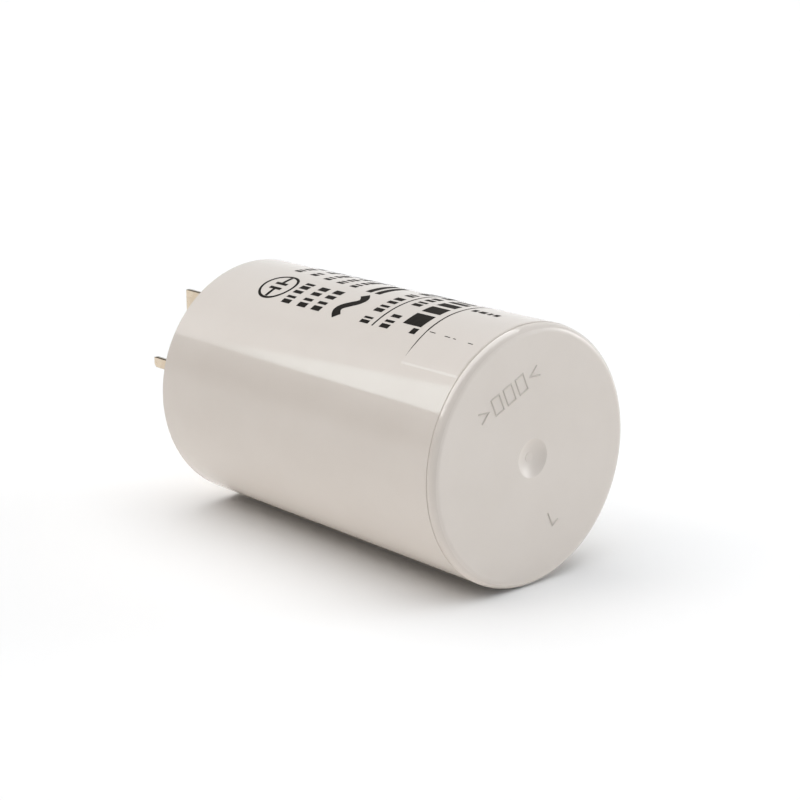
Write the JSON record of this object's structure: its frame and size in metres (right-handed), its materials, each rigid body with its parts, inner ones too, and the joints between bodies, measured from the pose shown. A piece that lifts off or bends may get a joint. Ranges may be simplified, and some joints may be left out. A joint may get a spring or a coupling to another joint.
{
  "type": "film capacitor",
  "caption": "Motor-run film capacitor: potted film winding in a cylindrical moulded plastic can, closed at one end, with sheet push-on terminals on a lid at the other.",
  "frame": {"origin": "centre of the can's closed end, on which it stands", "axes": "+Z along the can's axis, from the closed end to the terminals; the terminals' blades lie parallel to the YZ plane"},
  "size_m": [0.035, 0.035, 0.067],
  "materials": {
    "can_plastic": "glossy moulded off-white plastic",
    "lid_plastic": "satin moulded off-white plastic",
    "terminal_metal": "tinned brass sheet",
    "rivet_metal": "plain brass",
    "film": "wound metallised film",
    "core_plastic": "extruded plastic tube",
    "sprayed_zinc": "rough sprayed metal",
    "lead_wire": "tinned copper wire",
    "resin": "cast resin"
  },
  "bodies": {
    "root": {"case": "can_plastic", "lid": "lid_plastic", "terminal_a": "terminal_metal", "terminal_b": "terminal_metal", "rivet_a": "rivet_metal", "rivet_b": "rivet_metal", "winding": "film", "core_tube": "core_plastic", "end_spray_lower": "sprayed_zinc", "end_spray_upper": "sprayed_zinc", "lead_short": "lead_wire", "lead_long": "lead_wire", "potting": "resin"}
  },
  "joints": []
}
